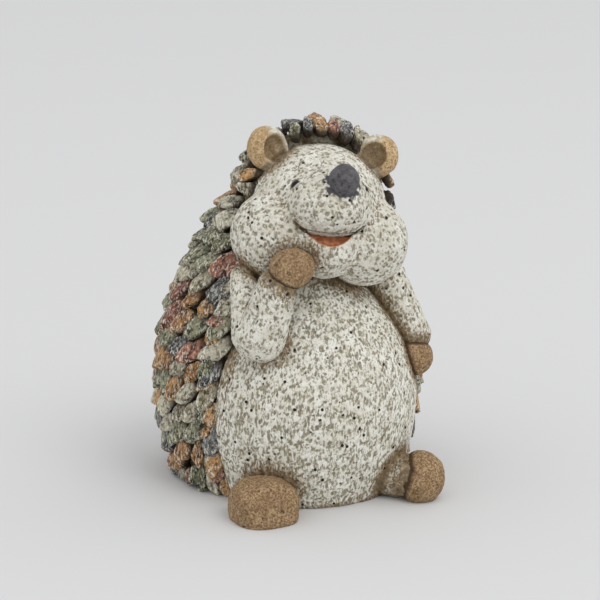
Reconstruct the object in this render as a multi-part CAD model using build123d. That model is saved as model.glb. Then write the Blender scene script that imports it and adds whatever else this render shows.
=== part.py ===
from build123d import *

# A seated hedgehog figurine in cast stone, as an assembly. Millimetres. The figure faces -Y, its own
# right is -X and the floor is Z = 0. A belly casting and a spine mantle meet at an upright seam, share
# one tapered core hollow and carry head, limbs and some hundreds of separate flake stones.

import os
from math import asin, ceil, cos, degrees, hypot, pi, radians, sin

# Mantle: an egg turned from two parabolas, leaning forward, with a hood over the skull.
mantle_radius = 79.5
mantle_widest_z = 66.0
mantle_rise = 157.0
mantle_drop = 175.0
mantle_left = 2.5
mantle_behind = 6.0
mantle_lean_deg = 5.0
hood_radii = (45.0, 43.0, 43.5)
hood_above_skull = 7.0
hood_behind_skull = 15.0
hood_edge_behind = 4.0

# Belly: a fuller egg in front of the seam.
belly_radius = 73.0
belly_widest_z = 60.0
belly_rise = 104.0
belly_drop = 150.0
belly_left = 0.0
belly_ahead = 22.0
belly_lean_deg = 5.0
seam_ahead = 41.5

# Core hollow: the space inside both castings, open at the floor.
core_radius = 63.0
core_widest_z = 58.0
core_rise = 130.0
core_drop = 175.0
core_ahead = 8.0

# Hem: the raised border of the mantle along the seam.
hem_width = 3.0
hem_proud = 2.0

# Head: skull, two cheeks, muzzle, bridge and chin, in a frame of its own.
head_left = 2.9
head_ahead = 37.0
head_height = 183.0
head_turn_deg = 15.4
head_up_deg = 9.1
head_tip_deg = 6.1
skull_radii = (43.0, 40.0, 41.0)
cheek_radius = 28.0
cheek_apart = 57.0
cheek_ahead = 12.0
cheek_drop = 18.0
muzzle_radii = (26.0, 27.0, 21.0)
muzzle_ahead = 33.0
muzzle_rise = 3.0
bridge_root_radius = 20.0
bridge_tip_radius = 11.0
bridge_root_ahead = 12.0
bridge_tip_ahead = 46.0
bridge_root_rise = 10.0
bridge_tip_rise = 16.0
chin_radii = (25.0, 25.0, 20.0)
chin_ahead = 25.0
chin_drop = 22.0

# Face: nose, eyes and open mouth.
nose_radius = 9.5
nose_aside = 4.0
nose_ahead = 55.0
nose_rise = 20.0
eye_radius = 2.4
eye_bevel = 1.0
eye_length = 4.0
eye_proud = 1.4
eye_apart = 50.0
eye_rise = 17.0
mouth_radii = (19.0, 14.0, 8.0)
mouth_ahead = 40.0
mouth_drop = 15.0
mouth_set_back = 3.0

# Ears: round cups that open forward and inward.
ear_radius = 13.5
ear_mouth_radius = 9.5
ear_mouth_ahead = 9.0
ear_front_ahead = 7.5
ear_apart = 71.0
ear_rise = 36.0
ear_inward_deg = 24.0
ear_root_radius = 9.5
ear_root_apart = 44.0
ear_root_rise = 18.0

# Limbs: tapered forms between joint points, given as X, Y and Z beside the figure's axis.
shoulder_right_at = (-50.0, -46.0, 147.0)
elbow_right_at = (-54.0, -70.0, 116.0)
wrist_right_at = (-43.0, -80.0, 144.0)
shoulder_right_radius = 11.0
elbow_right_radius = 16.0
wrist_right_radius = 12.0
knuckle_right_at = (-43.0, -84.5, 158.5)
finger_right_at = (-36.0, -83.5, 159.5)
hand_right_radius = 13.0
shoulder_left_at = (50.0, -40.0, 132.0)
wrist_left_at = (65.0, -50.0, 98.0)
shoulder_left_radius = 14.0
wrist_left_radius = 11.0
hand_left_at = (62.0, -56.0, 84.0)
hand_left_radius = 12.0
foot_right_at = (-56.0, -81.0)
foot_right_size = (41.0, 42.0, 30.0)
foot_right_round = 13.0
toe_groove_radius = 1.6
toe_groove_aside = 7.0
toe_groove_height = 20.0
leg_left_root_at = (34.0, -66.0, 14.0)
leg_left_ankle_at = (44.0, -82.0, 14.0)
leg_left_radius = 14.0
foot_left_at = (52.0, -87.0, 14.0)
foot_left_radius = 15.5

# Flakes: wedge-shaped stones that flow back and down from the face.
flake_length = 18.5
flake_width = 10.5
flake_root_rise = 1.2
flake_tail_rise = 11.0
flake_overhang = 5.5
flake_gap = 1.4
flake_clearance = 1.0
flake_floor_clearance = 2.5
neck_clearance = 5.0
flake_flow_down_deg = 42.0
flake_swing_deg = 5.0
flake_point_share = 0.28
flake_top_share = 0.84
flake_spread_share = 0.16
valley_share = 0.93
bed_step = 3.5
crown_z = 190.0
waist_z = 92.0
flank_right = 32.0
colour_shares = {"cream": 0.3, "olive": 0.22, "ochre": 0.2, "charcoal": 0.15, "brick": 0.13}
size_step_share = 0.7548776662
colour_step_share = 0.6180339887

overrun = 300.0


def ellipsoid(radii):
    """A unit ball stretched to three radii."""
    return scale(Sphere(1), by=tuple(radii))


def egg(radius, widest_z, rise, drop, centre, lean_deg):
    """A turned egg: a parabola above its widest ring and one below, cut off at the floor."""
    upper = Bezier((radius, 0), (radius, rise / 2), (0, rise))
    axis_line = Line((0, rise), (0, -drop))
    lower = Bezier((0, -drop), (radius, -drop / 2), (radius, 0))
    half = make_face([upper, axis_line, lower])
    turned = revolve(Plane.XZ * half, Axis.Z)
    placed = Pos(*centre, widest_z) * Rot(X=lean_deg) * turned
    return placed - Pos(0, 0, -overrun / 2) * Box(overrun, overrun, overrun)


def limb(start, end, start_radius, end_radius, round_start=True):
    """A limb: the cone that touches two balls, with the far ball and, if it shows, the near one."""
    a = Vector(*start)
    b = Vector(*end)
    length = (b - a).length
    slope = asin((start_radius - end_radius) / length)
    start_touch = (start_radius * sin(slope), start_radius * cos(slope))
    end_touch = (length + end_radius * sin(slope), end_radius * cos(slope))
    flank = Line(start_touch, end_touch)
    end_arc = CenterArc((length, 0), end_radius, 90 - degrees(slope), -(90 - degrees(slope)))
    if round_start:
        start_edges = [CenterArc((0, 0), start_radius, 180, -(90 + degrees(slope)))]
        axis_start = (-start_radius, 0)
    else:
        axis_start = (start_touch[0], 0)
        start_edges = [Line(axis_start, start_touch)]
    spine = Line((length + end_radius, 0), axis_start)
    half = make_face([*start_edges, flank, end_arc, spine])
    along = (b - a).normalized()
    across = along.cross(Vector(0, 0, 1))
    return Location(Plane(origin=a, x_dir=along, z_dir=across)) * revolve(half, Axis.X)


# Frames.
head_frame = Pos(head_left, -head_ahead, head_height)
head_frame *= Rot(Z=-head_turn_deg) * Rot(X=-head_up_deg) * Rot(Y=head_tip_deg)
face_frame = Plane(head_frame)
mantle_at = (mantle_left, mantle_behind)
belly_at = (belly_left, -belly_ahead)
mantle_frame = Plane(Pos(*mantle_at, mantle_widest_z) * Rot(X=mantle_lean_deg))
hood_centre = Vector(0, hood_behind_skull, hood_above_skull)
behind_seam = Pos(0, overrun / 2 - seam_ahead, 0) * Box(overrun, overrun, 2 * overrun)
before_seam = Pos(0, -overrun / 2 - seam_ahead, 0) * Box(overrun, overrun, 2 * overrun)
behind_face = head_frame * (Pos(0, overrun / 2 + hood_edge_behind, 0) * Box(overrun, overrun, overrun))


def back_skin():
    """The whole outer skin that the flakes are bedded on."""
    body = egg(mantle_radius, mantle_widest_z, mantle_rise, mantle_drop, mantle_at, mantle_lean_deg)
    hood = head_frame * (Pos(0, hood_behind_skull, hood_above_skull) * ellipsoid(hood_radii))
    return body, hood


def mantle_solid(body, hood):
    return (body & behind_seam) + (hood & behind_face)


def hem_sides(body, neighbours):
    """A band round the seam, a little prouder than the mantle that it edges: one side and the other."""
    proud = egg(
        mantle_radius + hem_proud, mantle_widest_z, mantle_rise + hem_proud, mantle_drop,
        mantle_at, mantle_lean_deg,
    )
    slab = Pos(0, hem_width / 2 - seam_ahead, 0) * Box(overrun, hem_width, 2 * overrun)
    band = (proud & slab) - body - neighbours
    return list(band.solids().sort_by(SortBy.VOLUME)[-2:])


def head_solid():
    skull = ellipsoid(skull_radii)
    cheek_place = (cheek_apart / 2, -cheek_ahead, -cheek_drop)
    cheeks = [Pos(side * cheek_place[0], *cheek_place[1:]) * Sphere(cheek_radius) for side in (-1, 1)]
    muzzle = Pos(0, -muzzle_ahead, muzzle_rise) * ellipsoid(muzzle_radii)
    bridge = limb(
        (0, -bridge_root_ahead, bridge_root_rise), (nose_aside, -bridge_tip_ahead, bridge_tip_rise),
        bridge_root_radius, bridge_tip_radius,
    )
    chin = Pos(0, -chin_ahead, -chin_drop) * ellipsoid(chin_radii)
    return skull + cheeks + muzzle + bridge + chin


def mouth_pocket():
    """The open mouth: a flat ellipsoid under the muzzle, which leaves a crescent below the upper lip."""
    pocket = Pos(0, -mouth_ahead, -mouth_drop) * ellipsoid(mouth_radii)
    return pocket - Pos(0, -muzzle_ahead, muzzle_rise) * ellipsoid(muzzle_radii)


def mouth_inside(pocket):
    """The rust-coloured floor of the mouth, set back behind the lips."""
    back = Pos(0, overrun / 2 - mouth_ahead - mouth_radii[1] + mouth_set_back, 0)
    return (pocket & back * Box(overrun, overrun, overrun)).solids().sort_by(SortBy.VOLUME)[-1]


def eye_bead(head, side):
    """A bevelled bead in a socket of its own size, where its line of aim leaves the head."""
    aim = Vector(side * eye_apart / 2, -skull_radii[1], eye_rise).normalized()
    hits = head.find_intersection_points(Axis((0, 0, 0), aim))
    spot = max((hit[0] for hit in hits), key=lambda point: point.dot(aim))
    bead = Cylinder(eye_radius, eye_length, align=(Align.CENTER, Align.CENTER, Align.MAX))
    bead = chamfer(bead.edges().sort_by(Axis.Z)[-1], eye_bevel)
    return Location(Plane(origin=spot + aim * eye_proud, z_dir=aim)) * bead


def ear_solid(side):
    """A round cup that opens forward and inward, with a root that runs into the skull."""
    place = Pos(side * ear_apart / 2, 0, ear_rise) * Rot(Z=-side * ear_inward_deg)
    front = Pos(0, -overrun / 2 - ear_front_ahead, 0) * Box(overrun, overrun, overrun)
    hollow = place * Pos(0, -ear_mouth_ahead, 0) * Sphere(ear_mouth_radius)
    cup = place * (Sphere(ear_radius) - front)
    root_end = (side * ear_root_apart / 2, 0, ear_root_rise)
    root = limb((side * ear_apart / 2, 0, ear_rise), root_end, ear_root_radius, ear_root_radius, False)
    return cup + root - hollow


def foot_right_solid():
    """A blunt foot with a flat sole on the floor, and a shallow groove down its front."""
    block = Pos(*foot_right_at) * Box(*foot_right_size, align=(Align.CENTER, Align.CENTER, Align.MIN))
    rounded = block.edges() - block.edges().group_by(Axis.Z)[0]
    groove_x = foot_right_at[0] - toe_groove_aside
    groove_y = foot_right_at[1] - foot_right_size[1] / 2
    groove = Pos(groove_x, groove_y, toe_groove_height / 2) * Cylinder(toe_groove_radius, toe_groove_height)
    return fillet(rounded, foot_right_round) - groove


def foot_left_solid():
    """A domed foot with a flat sole on the floor."""
    dome = Pos(*foot_left_at) * Sphere(foot_left_radius)
    return dome - Pos(0, 0, -overrun / 2) * Box(overrun, overrun, overrun)


def flake(length, width, tail_rise):
    """One stone: a pointed foot, lofted to a larger back that rises and leans towards the tail."""
    half_width = width / 2
    half_straight = length * (0.5 - flake_point_share)
    outline = [
        (0, -length / 2), (half_width, -half_straight), (half_width, half_straight),
        (0, length / 2), (-half_width, half_straight), (-half_width, -half_straight),
    ]
    foot = make_face(Polyline(*outline, close=True))
    slope = (tail_rise - flake_root_rise) / (length + flake_overhang)
    back_outline = [
        (x * flake_top_share, y * (1 + flake_overhang / length) + flake_overhang / 2) for x, y in outline
    ]
    back_points = [
        Vector(x, y, flake_root_rise + slope * (y + length / 2)) for x, y in back_outline
    ]
    back = make_face(Polyline(*back_points, close=True))
    return loft([foot, back], ruled=True)


def share_of(count, step_share):
    """An even spread of values between 0 and 1, without repeats."""
    return (count * step_share) % 1


def flake_colour(count):
    pick = share_of(count, colour_step_share)
    for colour, share in colour_shares.items():
        if pick < share:
            return colour
        pick -= share
    return colour


def flake_region(point):
    if point.Z > crown_z:
        return "crown"
    level = "upper" if point.Z > waist_z else "lower"
    if point.X < -flank_right:
        return f"{level}_right"
    if point.X > flank_right:
        return f"{level}_left"
    return f"{level}_back"


def inside_ball(point, centre, radii, margin):
    """True inside an ellipsoid that is grown by a margin."""
    reach = point - Vector(*centre)
    return sum((c / (r + margin)) ** 2 for c, r in zip(reach, radii)) < 1


def inside_egg(point, margin):
    """True inside the mantle's egg, grown by a margin."""
    local = mantle_frame.to_local_coords(point)
    height = mantle_rise if local.Z > 0 else mantle_drop
    return hypot(local.X, local.Y) < mantle_radius * (1 - (local.Z / height) ** 2) + margin


def near_limb(point, start, end, radius):
    """True closer to the line between two joints than a radius and the clearance."""
    a = Vector(*start)
    span = Vector(*end) - a
    along = max(0, min(1, (point - a).dot(span) / span.dot(span)))
    return (point - a - span * along).length < radius + flake_clearance


def egg_bed():
    """Points of the mantle's egg with their outward normals, in rows from the floor up."""
    height = -mantle_widest_z
    while height < mantle_rise - bed_step:
        reach = mantle_rise if height > 0 else mantle_drop
        radius = mantle_radius * (1 - (height / reach) ** 2)
        slope = 2 * mantle_radius * height / reach**2
        number = ceil(2 * pi * radius / bed_step)
        for place in range(number):
            turn = 2 * pi * place / number
            point = Vector(radius * cos(turn), radius * sin(turn), height)
            normal = Vector(cos(turn), sin(turn), slope).normalized()
            yield mantle_frame.from_local_coords(point), normal.rotate(Axis.X, mantle_lean_deg)
        height += bed_step / hypot(1, slope)


def hood_bed():
    """Points of the hood behind the face, with their outward normals, in rows from front to back."""
    rows = ceil(pi * max(hood_radii) / bed_step)
    for row in range(1, rows):
        tilt = pi * row / rows
        number = ceil(2 * pi * max(hood_radii) * sin(tilt) / bed_step)
        for place in range(number):
            turn = 2 * pi * place / number
            unit = Vector(sin(tilt) * cos(turn), -cos(tilt), sin(tilt) * sin(turn))
            point = hood_centre + Vector(*(u * r for u, r in zip(unit, hood_radii)))
            if point.Y < hood_edge_behind + flake_length / 2 + flake_clearance:
                continue
            normal = Vector(*(u / r for u, r in zip(unit, hood_radii))).normalized()
            whole = face_frame.from_local_coords(point)
            yield whole, face_frame.from_local_coords(point + normal) - whole


def is_clear(corner):
    """True for a corner above the floor, behind the seam and outside every other form."""
    local = face_frame.to_local_coords(corner)
    behind = local.Y > hood_edge_behind + flake_clearance
    if corner.Y < hem_width + flake_clearance - seam_ahead and not (behind and corner.Z > crown_z):
        return False
    if corner.Z < flake_floor_clearance or inside_egg(corner, 0) or inside_ball(local, hood_centre, hood_radii, 0):
        return False
    balls = [((side * ear_apart / 2, 0, ear_rise), [ear_radius] * 3) for side in (-1, 1)]
    if not (behind and corner.Z > crown_z):
        balls.append(((0, 0, 0), skull_radii))
        balls += [((side * cheek_apart / 2, -cheek_ahead, -cheek_drop), [cheek_radius] * 3) for side in (-1, 1)]
    if any(inside_ball(local, centre, radii, flake_clearance) for centre, radii in balls):
        return False
    arms = [
        (shoulder_right_at, elbow_right_at, elbow_right_radius),
        (shoulder_left_at, wrist_left_at, shoulder_left_radius),
    ]
    return not any(near_limb(corner, *arm) for arm in arms)


def apart(place, other):
    """True if two stones can't touch: by their outlines on one bed, by a whole length across a valley."""
    reach = place["point"] - other["point"]
    length = (place["length"] + other["length"]) / 2 + flake_gap
    if place["normal"].dot(other["normal"]) < valley_share:
        return reach.length > length
    width = (place["width"] + other["width"]) / 2 + flake_gap
    for tailward in (place["tailward"], other["tailward"]):
        along = abs(reach.dot(tailward))
        across = (reach - tailward * reach.dot(tailward)).length
        if across < width * min(1, (length - along) / (2 * flake_point_share * length)):
            return False
    return True


def flake_places():
    """Lays stones one by one from the face back, wherever the next one finds room."""
    flow_down = radians(flake_flow_down_deg)
    flow = Vector(0, cos(flow_down), -sin(flow_down))
    egg_points = [p for p in egg_bed() if not inside_ball(
        face_frame.to_local_coords(p[0]), hood_centre, hood_radii, neck_clearance)]
    hood_points = [p for p in hood_bed() if not inside_egg(p[0], neck_clearance)]
    places = []
    for point, normal in sorted(egg_points + hood_points, key=lambda p: p[0].dot(flow)):
        size = 1 - flake_spread_share * share_of(len(places), size_step_share)
        swing = flake_swing_deg * (2 * share_of(len(places), size_step_share) - 1)
        tailward = (flow - normal * flow.dot(normal)).normalized().rotate(Axis((0, 0, 0), normal), swing)
        place = {
            "point": point, "normal": normal, "tailward": tailward,
            "length": flake_length * size, "width": flake_width * size, "rise": flake_tail_rise * size,
        }
        half = tailward * place["length"] / 2
        side = tailward.cross(normal) * place["width"] / 2
        tip = point + tailward * (place["length"] / 2 + flake_overhang) + normal * place["rise"]
        corners = [point + half, point - half, point + side, point - side, tip]
        if all(is_clear(corner) for corner in corners) and all(apart(place, other) for other in places):
            places.append(place)
    return places


def flakes():
    """All stones, as a dictionary from node name to a list."""
    groups = {}
    for count, place in enumerate(flake_places()):
        bed = Plane(place["point"], x_dir=place["tailward"].cross(place["normal"]), z_dir=place["normal"])
        stone = flake(place["length"], place["width"], place["rise"])
        name = f"flakes_{flake_region(place['point'])}_{flake_colour(count)}"
        groups.setdefault(name, []).append(bed.location * stone)
    return groups


def cut(shape, neighbours):
    """What is left of a piece after its larger neighbours."""
    for neighbour in neighbours:
        shape = shape - neighbour
    return shape.solids().sort_by(SortBy.VOLUME)[-1]


def write(name, solids):
    export_step(Compound(children=solids), f"parts/{name}.step")


def main():
    os.makedirs("parts", exist_ok=True)
    body, hood = back_skin()
    hollow = egg(core_radius, core_widest_z, core_rise, core_drop, (0, -core_ahead), belly_lean_deg)
    belly = egg(belly_radius, belly_widest_z, belly_rise, belly_drop, belly_at, belly_lean_deg)
    trunk_whole = belly & before_seam
    trunk = trunk_whole - hollow
    mantle = mantle_solid(body, hood) - hollow
    pocket = mouth_pocket()
    head_whole = head_solid()
    nose_whole = Pos(nose_aside, -nose_ahead, nose_rise) * Sphere(nose_radius)
    beads = {name: eye_bead(head_whole, side) for side, name in ((-1, "eye_right"), (1, "eye_left"))}
    head = head_frame * (head_whole - pocket - list(beads.values()))
    head = head - mantle - trunk_whole
    nose = head_frame * (nose_whole - head_whole)
    pieces = {"trunk": trunk, "mantle": mantle, "head": head, "nose": nose}
    pieces |= {name: head_frame * bead for name, bead in beads.items()}
    pieces["mouth"] = head_frame * mouth_inside(pocket)
    main_bodies = [trunk, mantle, head]
    for side, name in ((-1, "ear_right"), (1, "ear_left")):
        pieces[name] = head_frame * (ear_solid(side) - head_whole) - mantle
    upper_arm = limb(shoulder_right_at, elbow_right_at, shoulder_right_radius, elbow_right_radius, False)
    forearm = limb(elbow_right_at, wrist_right_at, elbow_right_radius, wrist_right_radius, False)
    upper_arm = cut(upper_arm, main_bodies)
    forearm = cut(forearm, main_bodies + [upper_arm])
    hand_right = limb(knuckle_right_at, finger_right_at, hand_right_radius, hand_right_radius)
    hand_right = cut(hand_right, main_bodies + [upper_arm, forearm])
    arm_left = limb(shoulder_left_at, wrist_left_at, shoulder_left_radius, wrist_left_radius)
    arm_left = cut(arm_left, main_bodies)
    hand_left = cut(Pos(*hand_left_at) * Sphere(hand_left_radius), main_bodies + [arm_left])
    foot_right = cut(foot_right_solid(), main_bodies)
    leg_left = limb(leg_left_root_at, leg_left_ankle_at, leg_left_radius, leg_left_radius, False)
    leg_left = cut(leg_left, main_bodies)
    foot_left = cut(foot_left_solid(), main_bodies + [leg_left])
    pieces |= {
        "upper_arm_right": upper_arm, "forearm_right": forearm, "hand_right": hand_right,
        "arm_left": arm_left, "hand_left": hand_left,
        "foot_right": foot_right, "leg_left": leg_left, "foot_left": foot_left,
    }
    pieces["hem"] = hem_sides(body, main_bodies + [upper_arm, arm_left])
    pieces |= flakes()
    groups = {name: shape if isinstance(shape, list) else list(shape.solids()) for name, shape in pieces.items()}
    middle = Compound([solid for group in groups.values() for solid in group]).bounding_box().center()
    for name, group in groups.items():
        write(name, [Pos(-middle.X, -middle.Y, 0) * solid for solid in group])
    print("The figure's axis stands at", round(-middle.X, 3), round(-middle.Y, 3))


main()
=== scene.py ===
from math import cos, radians, sin, sqrt

import bmesh
import bpy
import numpy as np
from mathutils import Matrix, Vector


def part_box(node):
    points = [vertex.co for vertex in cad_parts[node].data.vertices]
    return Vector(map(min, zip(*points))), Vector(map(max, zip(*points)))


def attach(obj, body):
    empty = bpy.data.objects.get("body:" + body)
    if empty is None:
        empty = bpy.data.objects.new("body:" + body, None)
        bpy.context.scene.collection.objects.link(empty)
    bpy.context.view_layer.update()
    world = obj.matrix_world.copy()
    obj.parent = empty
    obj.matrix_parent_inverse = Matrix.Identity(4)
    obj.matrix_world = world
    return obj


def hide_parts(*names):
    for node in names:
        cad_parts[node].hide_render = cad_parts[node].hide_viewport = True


# The figurine's castings are drawn as fields: the distance to each form, with soft joints between them.
# Each field becomes a fine mesh, whose pits, washes, painted shade and painted marks are masks on its
# vertices.
# Lengths are millimetres from the figure's axis on the floor until a mesh is made, and the face's are in the
# head's own turned frame. A limb is its start, its end and the radius at each, and a bulge is its centre and
# its radii.
# A fillet or edge is how far the joint of two forms is rounded.
mm = 0.001

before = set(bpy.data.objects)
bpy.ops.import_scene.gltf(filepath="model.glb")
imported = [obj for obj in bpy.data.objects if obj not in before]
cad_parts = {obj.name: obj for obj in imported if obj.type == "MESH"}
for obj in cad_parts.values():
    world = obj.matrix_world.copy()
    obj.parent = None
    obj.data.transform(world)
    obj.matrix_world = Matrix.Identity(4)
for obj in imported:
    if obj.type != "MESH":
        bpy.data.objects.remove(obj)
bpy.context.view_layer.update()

# The figure's axis in the frame, from the trunk's box: its middle in X, and seam_ahead behind its back in Y.
seam_ahead = 41.5
trunk_low, trunk_high = (np.array(corner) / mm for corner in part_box("trunk"))
axis_at = np.array([(trunk_low[0] + trunk_high[0]) / 2, trunk_high[1] + seam_ahead, 0.0])

# Camera, backdrop and light.
camera_turn_deg = -26.0
camera_rise_deg = 14.0
camera_distance = 1600.0
camera_aim = (17.1, 18.0, 110.0)
camera_lens = 145.9
key_turn_deg = 15.0
key_rise_deg = 50.0
key_distance_m = 5.0
key_size_m = 3.0
key_watts = 55.0
key_aim_m = (0.0, 0.0, 0.1)
backdrop_grey = 0.72
floor_half_m = 12
sky_colour = (0.985, 0.99, 1.0, 1.0)
sky_strength = 0.86

# Cell size of each mesh.
cream_step = 0.65
paw_step = 0.7
nose_step = 0.6
mouth_step = 0.7
bed_step = 1.3

# Body: the mantle, the belly and the hollow inside them are eggs that lean forward.
egg_lean_deg = 5.0
mantle_at = (2.5, 6.0, 66.0)
mantle_radius = 79.5
mantle_rise = 157.0
mantle_drop = 175.0
belly_at = (0.0, -22.0, 60.0)
belly_radius = 73.0
belly_rise = 104.0
belly_drop = 150.0
belly_overlap = 1.0
core_at = (0.0, -8.0, 58.0)
core_radius = 63.0
core_rise = 130.0
core_drop = 175.0
neck_height = 150.0
neck_ahead = 40.0
bed_depth = 1.5
bed_fillet = 6.0

# Head.
head_at = (2.9, -37.0, 183.0)
head_turn_deg = 15.4
head_up_deg = 9.1
head_tip_deg = 6.1
skull_radii = (43.0, 40.0, 41.0)
hood_at = (0.0, 15.0, 7.0)
hood_radii = (45.0, 43.0, 43.5)
hood_edge = 4.0
cheek_at = (28.5, -12.0, -18.0)
cheek_radii = (27.5, 29.5, 28.0)
cheek_fillet = 3.5
chin_at = (0.0, -25.5, -22.0)
chin_radii = (24.0, 25.0, 20.0)
chin_fillet = 5.0
nose_at = (4.0, -55.0, 20.0)
nose_radii = (9.5, 9.0, 10.0)
nose_lobe_off = (-0.5, 1.5, -5.0)
nose_lobe_radii = (6.5, 7.5, 7.0)
nose_fillet = 3.0
nose_shadow_radii = (10.5, 12.0, 12.5)
muzzle_at = (0.0, -33.0, 3.5)
muzzle_radii = (26.0, 27.0, 20.5)
muzzle_fillet = 8.5
bridge = ((0.0, -12.0, 10.0), (nose_at[0], -46.0, 16.0), 20.0, 11.0)
bridge_fillet = 8.0

# Mouth: the smile is the crease below the muzzle, and the mouth opens in its middle.
smile_half = 28.0
smile_top = -3.5
smile_fade = 5.0
smile_fillet = 2.0
smile_edge = 1.0
smile_corner_at = (25.5, -31.0, -6.0)
crease_radius = 1.0
corner_radius = 1.5
corner_long = 6.0
corner_fade = 4.0
mouth_at = (0.0, -46.0, -15.0)
mouth_gap = 7.0
mouth_half = 15.0
mouth_depth = 5.5
mouth_edge = 0.8
mouth_floor_depth = 2.0
mouth_floor_fall = 3.0
lips_ahead = 35.0

# Ears.
ear_radius = 13.5
ear_thick = 10.5
ear_apart = 71.0
ear_rise = 36.0
ear_inward_deg = 24.0
ear_root_at = (22.0, 2.0, 18.0)
ear_root_radii = (8.5, 11.0)
ear_fillet = 4.0
ear_edge = 2.5
ear_mouth_aside = -1.4
ear_mouth_ahead = 9.5
ear_mouth_radius = 8.5

# Arms, leg and paws.
upper_arm = ((-53.5, -45.0, 147.0), (-55.5, -67.0, 115.0), 7.5, 14.5)
forearm = ((-53.0, -71.0, 114.0), (-46.5, -80.0, 146.0), 15.5, 12.3)
elbow_fillet = 0.6
hanging_arm = ((50.0, -40.0, 132.0), (65.0, -50.0, 98.0), 14.0, 11.5)
short_leg = ((34.0, -66.0, 14.0), (45.0, -82.0, 14.0), 15.0, 14.0)
raised_fist = ((-37.5, -84.0, 159.0), (13.5, 12.5, 12.0))
raised_wrist = ((-42.0, -85.0, 157.0), (10.0, 10.5, 10.0))
wrist_fillet = 5.0
hanging_fist = ((62.5, -56.0, 84.0), (12.5, 11.0, 12.0))
left_toe = ((52.0, -87.0, 14.0), (14.5, 15.0, 17.0))
left_sole = ((49.0, -88.0, 10.0), (13.0, 14.0, 12.0))
sole_fillet = 4.0
right_foot_at = (-56.0, -80.5, 8.0)
right_foot_radii = (20.5, 21.0, 18.0)
right_foot_mean = 19.0
right_foot_power = 2.7
toe_groove = ((-63.0, -100.5, 22.0), (-62.0, -102.5, 8.0), 1.4, 1.0)
groove_edge = 1.2
toe_dimple = ((-49.0, -102.0, 12.0), (-49.0, -102.5, 7.0), 0.9, 0.9)
dimple_edge = 1.0

# The low and the high corner of the space that each mesh is drawn in.
spaces = {
    "trunk": ((-80, -104, -2), (80, -38, 160)),
    "head": ((-62, -118, 128), (72, 12, 232)),
    "arm_right": ((-76, -100, 96), (-24, -28, 168)),
    "arm_left": ((30, -70, 80), (82, -20, 150)),
    "leg_left": ((14, -102, -2), (66, -46, 34)),
    "hand_right": ((-66, -102, 140), (-18, -64, 176)),
    "hand_left": ((46, -72, 68), (80, -40, 100)),
    "foot_right": ((-82, -108, -2), (-30, -56, 36)),
    "foot_left": ((34, -106, -2), (70, -68, 34)),
    "mantle": ((-86, -52, -2), (92, 98, 240)),
}
# The same for the small forms of the head, as lengths to both sides of the form's middle.
ear_reach = (30, 24)
nose_reach = (16, 14)
mouth_reach = (24, 24)

# Relief: height, grain size and seed of each layer.
cream_waves = ((0.5, 9.0, 5), (0.35, 3.0, 7))
paw_waves = ((0.7, 7.0, 15), (0.35, 2.0, 17))
ear_waves = ((0.6, 6.0, 25), (0.3, 2.0, 27))
nose_waves = ((0.6, 5.0, 35),)
mouth_waves = ((0.6, 4.0, 45),)
bed_waves = ((1.6, 7.0, 55), (0.6, 2.5, 57))
shadow_waves = ((0.55, 2.6, 61),)

# Pits: spacing, radius, seed, the share that is kept, the way they run and how much longer than wide they are.
trunk_pits = (2.3, 1.0, 21, 0.9, (1.2, 0, 1.6), 2.6)
head_pits = (2.6, 1.3, 21, 0.9, (0, 0, 0), 1.4)
limb_pits = (2.7, 1.25, 21, 0.9, (0, 0, 1), 1.7)
cream_holes = (9.0, 0.85, 43, 0.7)
paw_pits = (4.2, 1.0, 91, 0.6)
ear_pits = (4.6, 1.1, 95, 0.5)
nose_pits = (4.0, 1.2, 33, 0.7)
cream_pit_depth = 0.5
cream_hole_depth = 0.9
paw_pit_depth = 0.35

# Washed brown and painted shade: how far the darkening spreads from a joint, and up from the floor, and how
# deep a full fold is.
cream_wash_and_shade_reach = 11.0
paw_shade_reach = 3.0
ear_shade_reach = 4.0
floor_darkening_reach = 9.0
fold_rounds = 50
fold_depth = 0.8

# Stones on the CAD places: longer at the seam and wider behind, so that little of the bed shows.
stone_length = 28.0
stone_width = 13.0
stone_thick = 6.6
stone_lean_deg = 19.0
stone_lift = 3.2
stone_cuts = 8
stone_relief = 1.3
seam_longer = 3.0
seam_reach = 18.0
back_wider = 3.5
back_reach = 40.0
flow_down_deg = 42.0

# Rows of small stones along brow, seam and floor: the row, and length, width and lean of its stones.
brow_turns_deg = np.arange(-118, 119, 10.5)
brow_stone = (19.0, 9.0, 34.0)
brow_behind = 3.0
brow_forward = 5.0
brow_sunk = 2.5
seam_heights = np.arange(16, 170, 10.5)
seam_stone = (21.0, 10.5, 16.0)
seam_behind = 5.0
floor_turns_deg = np.arange(-34, 215, 8.5)
floor_row_height = 9.0
floor_stone = (18.0, 11.0, 14.0)
floor_down_deg = 70.0
# A stone of a row is tried this high over its bed, and is left out where it comes so near to another casting,
# to the belly or to the inside of the bed.
row_lift = 3.0
row_clearance = 1.5
row_seam_gap = 1.0
row_bed_gap = 2.0

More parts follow.
